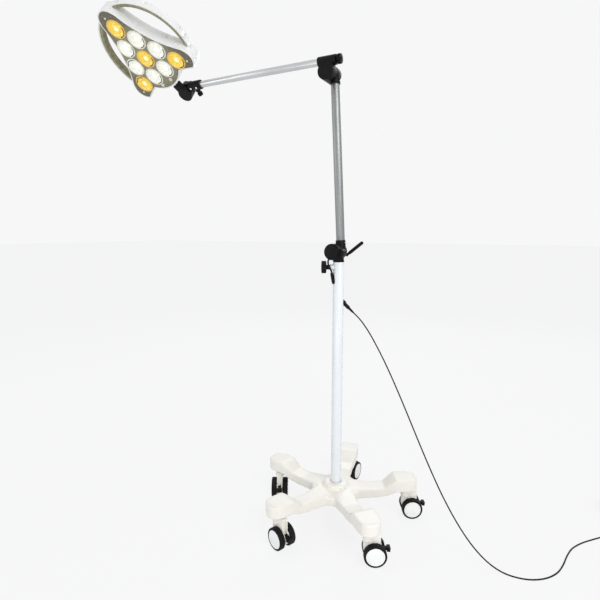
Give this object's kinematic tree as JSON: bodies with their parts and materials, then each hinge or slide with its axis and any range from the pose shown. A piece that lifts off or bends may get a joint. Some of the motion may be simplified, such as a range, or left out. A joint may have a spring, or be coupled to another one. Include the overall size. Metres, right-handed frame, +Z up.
{
  "type": "examination lamp",
  "caption": "Mobile examination lamp: star base on twin-wheel castors, column, tilting post, boom and a three-cornered multi-lens head inside a ring handle.",
  "frame": {"origin": "on the floor under the column's axis", "axes": "+Z up the column; -X the way the boom points; the arm's hinge axes lie along Y"},
  "size_m": [1.5744, 0.7457, 1.5377],
  "materials": {
    "white_moulding": "gloss",
    "white_paint": "gloss",
    "black_moulding": "matte",
    "black_flex": "matte",
    "tyre_rubber": "matte",
    "satin_tube": "satin",
    "bright_steel": "polished",
    "ballast_iron": "matte",
    "khaki_plastic": "matte",
    "cream_plastic": "satin",
    "warm_lens": "gloss",
    "cool_lens": "gloss",
    "board_green": "satin"
  },
  "bodies": {
    "stand": {"base_shell": "white_moulding", "ballast_plate": "ballast_iron", "column_bolt": "bright_steel", "column_tube": "white_paint", "column_bush": "black_moulding", "power_socket": "black_moulding", "dc_plug": "black_moulding", "power_cord": "black_flex", "power_cord_coil": "black_flex", "mains_adapter": "black_moulding", "cable_boot": "black_moulding"},
    "clamp_knob_body": {"clamp_knob": "black_moulding"},
    "swivel": {"tilt_base": "black_moulding", "tilt_bolt": "bright_steel", "tilt_cap": "black_moulding", "link_cable": "black_flex"},
    "clamp_lever_body": {"clamp_lever": "black_moulding"},
    "post": {"tilt_arm": "black_moulding", "post_tube": "satin_tube", "post_screws": "bright_steel", "elbow_base": "black_moulding"},
    "boom": {"elbow_arm": "black_moulding", "elbow_bolt": "bright_steel", "boom_tube": "satin_tube"},
    "boom_knob_body": {"boom_knob": "black_moulding"},
    "wrist": {"wrist_base": "black_moulding", "wrist_bolt": "bright_steel", "wrist_screws": "bright_steel"},
    "wrist_knob_body": {"wrist_knob": "black_moulding"},
    "neck": {"neck_yoke": "black_moulding"},
    "head": {"head_stud": "bright_steel", "head_shell": "white_moulding", "face_panel": "khaki_plastic", "handle_grips": "khaki_plastic", "lenses_warm": "warm_lens", "lenses_cool": "cool_lens", "led_board": "board_green", "face_screws": "cream_plastic"},
    "button_power_body": {"button_power": "cream_plastic"},
    "button_tone_body": {"button_tone": "cream_plastic"},
    "castor_1": {"castor_1_housing": "white_moulding"},
    "castor_1_roll": {"castor_1_wheels": "white_moulding", "castor_1_tyres": "tyre_rubber"},
    "castor_1_brake": {"castor_1_pedal": "black_moulding"},
    "castor_2": {"castor_2_housing": "white_moulding"},
    "castor_2_roll": {"castor_2_wheels": "white_moulding", "castor_2_tyres": "tyre_rubber"},
    "castor_2_brake": {"castor_2_pedal": "black_moulding"},
    "castor_3": {"castor_3_housing": "white_moulding"},
    "castor_3_roll": {"castor_3_wheels": "white_moulding", "castor_3_tyres": "tyre_rubber"},
    "castor_3_brake": {"castor_3_pedal": "black_moulding"},
    "castor_4": {"castor_4_housing": "white_moulding"},
    "castor_4_roll": {"castor_4_wheels": "white_moulding", "castor_4_tyres": "tyre_rubber"},
    "castor_4_brake": {"castor_4_pedal": "black_moulding"},
    "castor_5": {"castor_5_housing": "white_moulding"},
    "castor_5_roll": {"castor_5_wheels": "white_moulding", "castor_5_tyres": "tyre_rubber"},
    "castor_5_brake": {"castor_5_pedal": "black_moulding"}
  },
  "joints": [
    {"name": "clamp_knob_turn", "type": "hinge", "parent": "stand", "child": "clamp_knob_body", "pos_m": [0, 0, 0.786], "axis": [-0.8846, -0.4664, 0], "range_deg": [-180, 180]},
    {"name": "column_swivel", "type": "hinge", "parent": "stand", "child": "swivel", "pos_m": [0, 0, 0.801], "axis": [0, 0, 1], "range_deg": [-60, 60], "deforming": ["link_cable"]},
    {"name": "clamp_lever_turn", "type": "hinge", "parent": "swivel", "child": "clamp_lever_body", "pos_m": [-0.0095, 0.037, 0.831], "axis": [0, -1, 0], "range_deg": [-35, 35]},
    {"name": "post_tilt", "type": "hinge", "parent": "swivel", "child": "post", "pos_m": [-0.0095, 0, 0.831], "axis": [0, -1, 0], "range_deg": [-15, 60]},
    {"name": "boom_lift", "type": "hinge", "parent": "post", "child": "boom", "pos_m": [-0.03444, 0, 1.32337], "axis": [0, -1, 0], "range_deg": [-75, 60]},
    {"name": "boom_knob_turn", "type": "hinge", "parent": "boom", "child": "boom_knob_body", "pos_m": [-0.00644, -0.015, 1.35137], "axis": [1, 0, 0], "range_deg": [-180, 180]},
    {"name": "wrist_roll", "type": "hinge", "parent": "boom", "child": "wrist", "pos_m": [-0.54344, -0.015, 1.35137], "axis": [-1, 0, 0], "range_deg": [-90, 90]},
    {"name": "wrist_knob_turn", "type": "hinge", "parent": "wrist", "child": "wrist_knob_body", "pos_m": [-0.49944, -0.015, 1.35137], "axis": [0, 0.8028, -0.5962], "range_deg": [-180, 180]},
    {"name": "neck_hinge", "type": "hinge", "parent": "wrist", "child": "neck", "pos_m": [-0.54344, -0.00296, 1.34242], "axis": [0, 0.5962, 0.8028], "range_deg": [-100, 20]},
    {"name": "head_turn", "type": "hinge", "parent": "neck", "child": "head", "pos_m": [-0.54344, -0.00892, 1.3344], "axis": [-0.2823, -0.7702, 0.572], "range_deg": [-60, 60]},
    {"name": "button_power_press", "type": "slide", "parent": "head", "child": "button_power_body", "axis": [0, 0.5962, 0.8028], "range_m": [0, 0.0015], "stiffness_N_per_m": 400, "springref_m": -0.0008},
    {"name": "button_tone_press", "type": "slide", "parent": "head", "child": "button_tone_body", "axis": [0, 0.5962, 0.8028], "range_m": [0, 0.0015], "stiffness_N_per_m": 400, "springref_m": -0.0008},
    {"name": "castor_1_swivel", "type": "hinge", "parent": "stand", "child": "castor_1", "pos_m": [0.19297, 0.10565, 0.092], "axis": [0, 0, 1], "continuous": true},
    {"name": "castor_1_spin", "type": "hinge", "parent": "castor_1", "child": "castor_1_roll", "pos_m": [0.20901, 0.11382, 0.0315], "axis": [-0.454, 0.891, 0], "continuous": true},
    {"name": "castor_1_brake_press", "type": "hinge", "parent": "castor_1", "child": "castor_1_brake", "pos_m": [0.22772, 0.12336, 0.0415], "axis": [-0.454, 0.891, 0], "range_deg": [0, 15]},
    {"name": "castor_2_swivel", "type": "hinge", "parent": "stand", "child": "castor_2", "pos_m": [-0.04085, 0.21618, 0.092], "axis": [0, 0, 1], "continuous": true},
    {"name": "castor_2_spin", "type": "hinge", "parent": "castor_2", "child": "castor_2_roll", "pos_m": [-0.03991, 0.23415, 0.0315], "axis": [-0.9986, 0.0523, 0], "continuous": true},
    {"name": "castor_2_brake_press", "type": "hinge", "parent": "castor_2", "child": "castor_2_brake", "pos_m": [-0.03881, 0.25512, 0.0415], "axis": [-0.9986, 0.0523, 0], "range_deg": [0, 15]},
    {"name": "castor_3_swivel", "type": "hinge", "parent": "stand", "child": "castor_3", "pos_m": [-0.21822, 0.02795, 0.092], "axis": [0, 0, 1], "continuous": true},
    {"name": "castor_3_spin", "type": "hinge", "parent": "castor_3", "child": "castor_3_roll", "pos_m": [-0.21005, 0.01192, 0.0315], "axis": [0.891, 0.454, 0], "continuous": true},
    {"name": "castor_3_brake_press", "type": "hinge", "parent": "castor_3", "child": "castor_3_brake", "pos_m": [-0.20051, -0.00679, 0.0415], "axis": [0.891, 0.454, 0], "range_deg": [0, 15]},
    {"name": "castor_4_swivel", "type": "hinge", "parent": "stand", "child": "castor_4", "pos_m": [-0.09402, -0.1989, 0.092], "axis": [0, 0, 1], "continuous": true},
    {"name": "castor_4_spin", "type": "hinge", "parent": "castor_4", "child": "castor_4_roll", "pos_m": [-0.07745, -0.20593, 0.0315], "axis": [0.3907, 0.9205, 0], "continuous": true},
    {"name": "castor_4_brake_press", "type": "hinge", "parent": "castor_4", "child": "castor_4_brake", "pos_m": [-0.05812, -0.21414, 0.0415], "axis": [0.3907, 0.9205, 0], "range_deg": [0, 15]},
    {"name": "castor_5_swivel", "type": "hinge", "parent": "stand", "child": "castor_5", "pos_m": [0.16011, -0.15088, 0.092], "axis": [0, 0, 1], "continuous": true},
    {"name": "castor_5_spin", "type": "hinge", "parent": "castor_5", "child": "castor_5_roll", "pos_m": [0.17615, -0.14271, 0.0315], "axis": [-0.454, 0.891, 0], "continuous": true},
    {"name": "castor_5_brake_press", "type": "hinge", "parent": "castor_5", "child": "castor_5_brake", "pos_m": [0.19486, -0.13317, 0.0415], "axis": [-0.454, 0.891, 0], "range_deg": [0, 15]}
  ]
}
